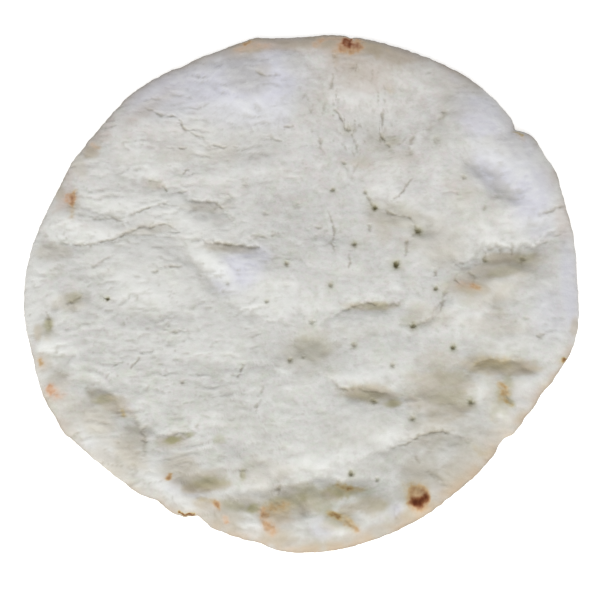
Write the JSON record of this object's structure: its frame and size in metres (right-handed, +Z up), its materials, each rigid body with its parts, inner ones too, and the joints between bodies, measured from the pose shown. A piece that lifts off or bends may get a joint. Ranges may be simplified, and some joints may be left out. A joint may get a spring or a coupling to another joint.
{
  "type": "pizza crust",
  "caption": "Plain par-baked pizza crust: a thin, uneven round of pale dough with a puffed rim, folds, toasted blisters and docking holes.",
  "frame": {"origin": "middle of the flat underside, on the surface that the crust lies on", "axes": "+Z up out of the top of the crust; X is the crust's widest way; -Y is the side whose rim is puffed and toasted most"},
  "size_m": [0.2907, 0.2822, 0.0113],
  "materials": {
    "baked_dough": "matte, dry and floury, with toasted spots along the rim"
  },
  "bodies": {
    "root": {"crust": "baked_dough"}
  },
  "joints": []
}
